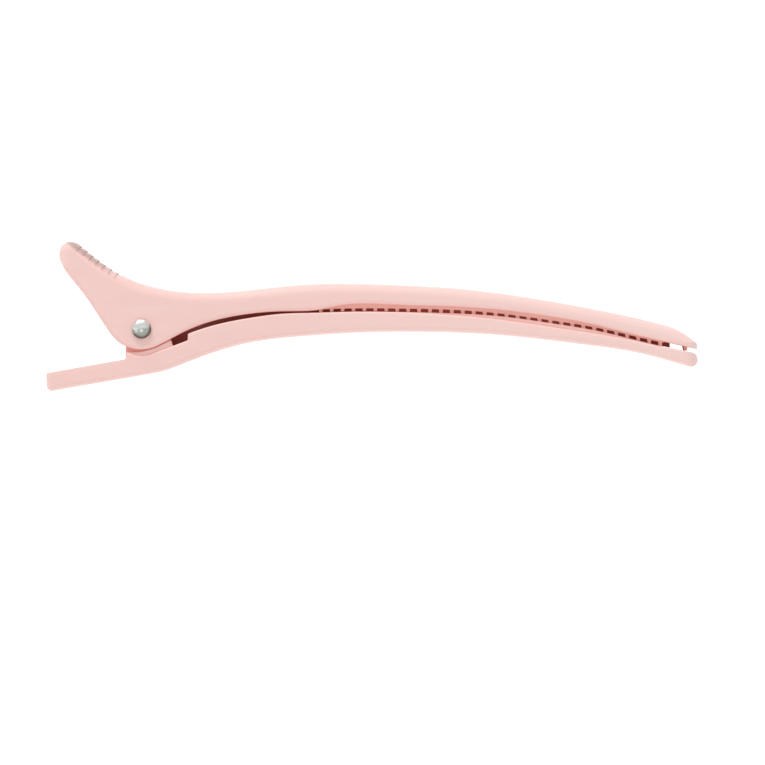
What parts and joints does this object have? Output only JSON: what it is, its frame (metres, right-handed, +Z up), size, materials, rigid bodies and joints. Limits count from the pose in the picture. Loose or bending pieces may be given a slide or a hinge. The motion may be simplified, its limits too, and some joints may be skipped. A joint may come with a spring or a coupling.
{
  "type": "duckbill hair clip",
  "caption": "Long curved duckbill hair clip with combed jaws, a grooved thumb lever, a domed rivet hinge and a torsion spring that holds the jaws shut.",
  "frame": {"origin": "on the surface the clip stands on, under the middle of its length and width", "axes": "+X along the clip from the levers to the jaw tips, +Y along the hinge rivet, +Z up; the jaws arch upwards"},
  "size_m": [0.115, 0.016, 0.0261],
  "materials": {
    "upper_plastic": "fine satin, moulded",
    "lower_plastic": "fine satin, moulded",
    "rivet_metal": "bright nickel plate",
    "spring_wire": "drawn wire"
  },
  "bodies": {
    "lower": {"lower_arm": "lower_plastic", "hinge_rivet": "rivet_metal", "torsion_spring": "spring_wire"},
    "upper": {"upper_arm": "upper_plastic"}
  },
  "joints": [
    {"name": "hinge", "type": "hinge", "parent": "lower", "child": "upper", "pos_m": [-0.0404, 0, 0.0103], "axis": [0, -1, 0], "range_deg": [0, 25], "stiffness_Nm_per_rad": 0.25, "springref_deg": -20.05, "deforming": ["torsion_spring"]}
  ]
}
